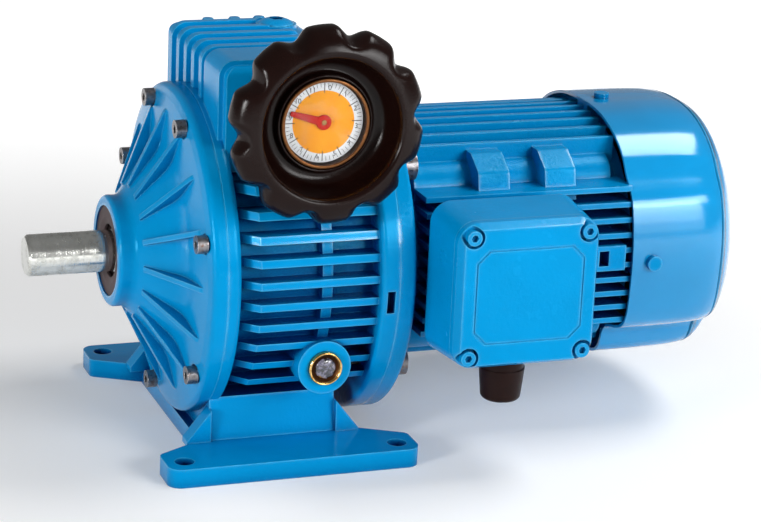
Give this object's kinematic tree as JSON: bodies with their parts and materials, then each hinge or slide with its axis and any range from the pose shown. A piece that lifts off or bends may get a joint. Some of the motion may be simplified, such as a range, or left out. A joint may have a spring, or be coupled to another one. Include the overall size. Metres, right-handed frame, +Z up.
{
  "type": "friction speed variator with flange motor",
  "caption": "Foot-mounted planetary cone friction variator with a handwheel speed control, a dial in the wheel, and a finned flange motor with a side terminal box.",
  "frame": {"origin": "middle of the four foot holes, on the mounting plane", "axes": "+X along the shafts to the motor, output shaft to -X, handwheel and terminal box to -Y, +Z up"},
  "size_m": [0.4235, 0.2455, 0.258],
  "materials": {
    "blue_iron": "gloss",
    "blue_alloy": "gloss",
    "blue_sheet": "gloss",
    "blue_plug": "gloss",
    "blue_screw": "gloss",
    "dark_steel": "satin",
    "seal_rubber": "satin",
    "bearing_steel": "gloss",
    "hard_steel": "gloss",
    "bright_steel": "satin",
    "shaft_steel": "gloss",
    "ball_steel": "polished",
    "spring_steel": "satin",
    "bronze": "satin",
    "sight_brass": "gloss",
    "sight_glass": "gloss",
    "lamination": "matte",
    "copper_wire": "gloss",
    "block_plastic": "satin",
    "gland_plastic": "satin",
    "fan_plastic": "matte",
    "phenolic": "gloss",
    "bezel_bronze": "gloss",
    "dial_glass": "gloss",
    "dial_face": "satin",
    "pointer_red": "gloss"
  },
  "bodies": {
    "housing": {"casing": "blue_iron", "front_cover": "blue_iron", "cover_bolts": "dark_steel", "output_seal": "seal_rubber", "bearing_outers": "bearing_steel", "fixed_ring": "hard_steel", "thrust_washer": "bronze", "screw_bushes": "bronze", "sight_bezel": "sight_brass", "sight_lens": "sight_glass", "filler_plug": "blue_plug", "drain_plug": "blue_plug", "motor_flange": "blue_alloy", "flange_bolts": "dark_steel", "motor_frame": "blue_alloy", "stator_core": "lamination", "stator_windings": "copper_wire", "rear_shield": "blue_alloy", "fan_cowl": "blue_sheet", "cowl_screws": "blue_screw", "terminal_box": "blue_alloy", "terminal_lid": "blue_alloy", "lid_screws": "blue_screw", "terminal_block": "block_plastic", "cable_gland": "gland_plastic"},
    "rotor": {"motor_shaft": "bright_steel", "rotor_core": "lamination", "cooling_fan": "fan_plastic", "input_sleeve": "hard_steel", "sleeve_key": "bright_steel", "disc_springs": "spring_steel", "spring_collar": "bright_steel", "rotor_inners": "bearing_steel"},
    "sliding_sun": {"sliding_sun": "hard_steel"},
    "output": {"output_shaft": "shaft_steel", "planet_carrier": "bright_steel", "output_inners": "bearing_steel"},
    "pin_1": {"planet_pin_1": "bright_steel"},
    "planet_1": {"planet_1": "hard_steel"},
    "pin_2": {"planet_pin_2": "bright_steel"},
    "planet_2": {"planet_2": "hard_steel"},
    "pin_3": {"planet_pin_3": "bright_steel"},
    "planet_3": {"planet_3": "hard_steel"},
    "pin_4": {"planet_pin_4": "bright_steel"},
    "planet_4": {"planet_4": "hard_steel"},
    "pin_5": {"planet_pin_5": "bright_steel"},
    "planet_5": {"planet_5": "hard_steel"},
    "handwheel": {"handwheel": "phenolic", "control_screw": "bright_steel", "indicator_case": "bezel_bronze", "indicator_glass": "dial_glass"},
    "dial": {"indicator_dial": "dial_face"},
    "pointer": {"indicator_pointer": "pointer_red", "pointer_gear": "bronze"},
    "control_nut": {"control_nut": "bronze"},
    "control_ring": {"control_ring": "hard_steel", "cam_balls": "ball_steel"},
    "movable_ring": {"movable_ring": "hard_steel"}
  },
  "joints": [
    {"name": "rotor_spin", "type": "hinge", "parent": "housing", "child": "rotor", "pos_m": [0, 0, 0.106], "axis": [1, 0, 0], "continuous": true},
    {"name": "sun_slide", "type": "slide", "parent": "rotor", "child": "sliding_sun", "axis": [1, 0, 0], "range_m": [-0.003, 0.003], "deforming": ["disc_springs"]},
    {"name": "output_spin", "type": "hinge", "parent": "housing", "child": "output", "pos_m": [0, 0, 0.106], "axis": [1, 0, 0], "continuous": true},
    {"name": "pin_1_slide", "type": "slide", "parent": "output", "child": "pin_1", "axis": [0.2425, 0, 0.9701], "range_m": [-0.00618, 0.00618]},
    {"name": "planet_1_spin", "type": "hinge", "parent": "pin_1", "child": "planet_1", "pos_m": [-0.005, 0, 0.151], "axis": [1, 0, 0], "continuous": true},
    {"name": "pin_2_slide", "type": "slide", "parent": "output", "child": "pin_2", "axis": [0.2425, 0.9227, 0.2998], "range_m": [-0.00618, 0.00618]},
    {"name": "planet_2_spin", "type": "hinge", "parent": "pin_2", "child": "planet_2", "pos_m": [-0.005, 0.0428, 0.11991], "axis": [1, 0, 0], "continuous": true},
    {"name": "pin_3_slide", "type": "slide", "parent": "output", "child": "pin_3", "axis": [0.2425, 0.5702, -0.7849], "range_m": [-0.00618, 0.00618]},
    {"name": "planet_3_spin", "type": "hinge", "parent": "pin_3", "child": "planet_3", "pos_m": [-0.005, 0.02645, 0.06959], "axis": [1, 0, 0], "continuous": true},
    {"name": "pin_4_slide", "type": "slide", "parent": "output", "child": "pin_4", "axis": [0.2425, -0.5702, -0.7849], "range_m": [-0.00618, 0.00618]},
    {"name": "planet_4_spin", "type": "hinge", "parent": "pin_4", "child": "planet_4", "pos_m": [-0.005, -0.02645, 0.06959], "axis": [1, 0, 0], "continuous": true},
    {"name": "pin_5_slide", "type": "slide", "parent": "output", "child": "pin_5", "axis": [0.2425, -0.9227, 0.2998], "range_m": [-0.00618, 0.00618]},
    {"name": "planet_5_spin", "type": "hinge", "parent": "pin_5", "child": "planet_5", "pos_m": [-0.005, -0.0428, 0.11991], "axis": [1, 0, 0], "continuous": true},
    {"name": "handwheel_turn", "type": "hinge", "parent": "housing", "child": "handwheel", "pos_m": [0.009, 0, 0.203], "axis": [0, 1, 0], "range_deg": [-1620, 1620]},
    {"name": "dial_upright", "type": "hinge", "parent": "handwheel", "child": "dial", "pos_m": [0.009, 0, 0.203], "axis": [0, 1, 0], "range_deg": [-1620, 1620]},
    {"name": "pointer_turn", "type": "hinge", "parent": "dial", "child": "pointer", "pos_m": [0.009, 0, 0.203], "axis": [0, 1, 0], "range_deg": [-135, 135]},
    {"name": "nut_slide", "type": "slide", "parent": "housing", "child": "control_nut", "axis": [0, 1, 0], "range_m": [-0.018, 0.018]},
    {"name": "control_ring_turn", "type": "hinge", "parent": "housing", "child": "control_ring", "pos_m": [0, 0, 0.106], "axis": [1, 0, 0], "range_deg": [-10.63, 10.63]},
    {"name": "movable_ring_slide", "type": "slide", "parent": "housing", "child": "movable_ring", "axis": [1, 0, 0], "range_m": [-0.003, 0.003]}
  ],
  "couplings": [
    {"joint": "output_spin", "follows": "rotor_spin", "ratio": 0.33333},
    {"joint": "sun_slide", "follows": "handwheel_turn", "m_per_rad": -0.0001061},
    {"joint": "pin_1_slide", "follows": "handwheel_turn", "m_per_rad": -0.00021874},
    {"joint": "planet_1_spin", "follows": "rotor_spin", "ratio": -1.3333},
    {"joint": "pin_2_slide", "follows": "handwheel_turn", "m_per_rad": -0.00021874},
    {"joint": "planet_2_spin", "follows": "rotor_spin", "ratio": -1.3333},
    {"joint": "pin_3_slide", "follows": "handwheel_turn", "m_per_rad": -0.00021874},
    {"joint": "planet_3_spin", "follows": "rotor_spin", "ratio": -1.3333},
    {"joint": "pin_4_slide", "follows": "handwheel_turn", "m_per_rad": -0.00021874},
    {"joint": "planet_4_spin", "follows": "rotor_spin", "ratio": -1.3333},
    {"joint": "pin_5_slide", "follows": "handwheel_turn", "m_per_rad": -0.00021874},
    {"joint": "planet_5_spin", "follows": "rotor_spin", "ratio": -1.3333},
    {"joint": "dial_upright", "follows": "handwheel_turn", "ratio": -1},
    {"joint": "pointer_turn", "follows": "handwheel_turn", "ratio": 0.083333},
    {"joint": "nut_slide", "follows": "handwheel_turn", "m_per_rad": -0.00063662},
    {"joint": "control_ring_turn", "follows": "handwheel_turn", "ratio": 0.0065631},
    {"joint": "movable_ring_slide", "follows": "handwheel_turn", "m_per_rad": -0.0001061}
  ]
}
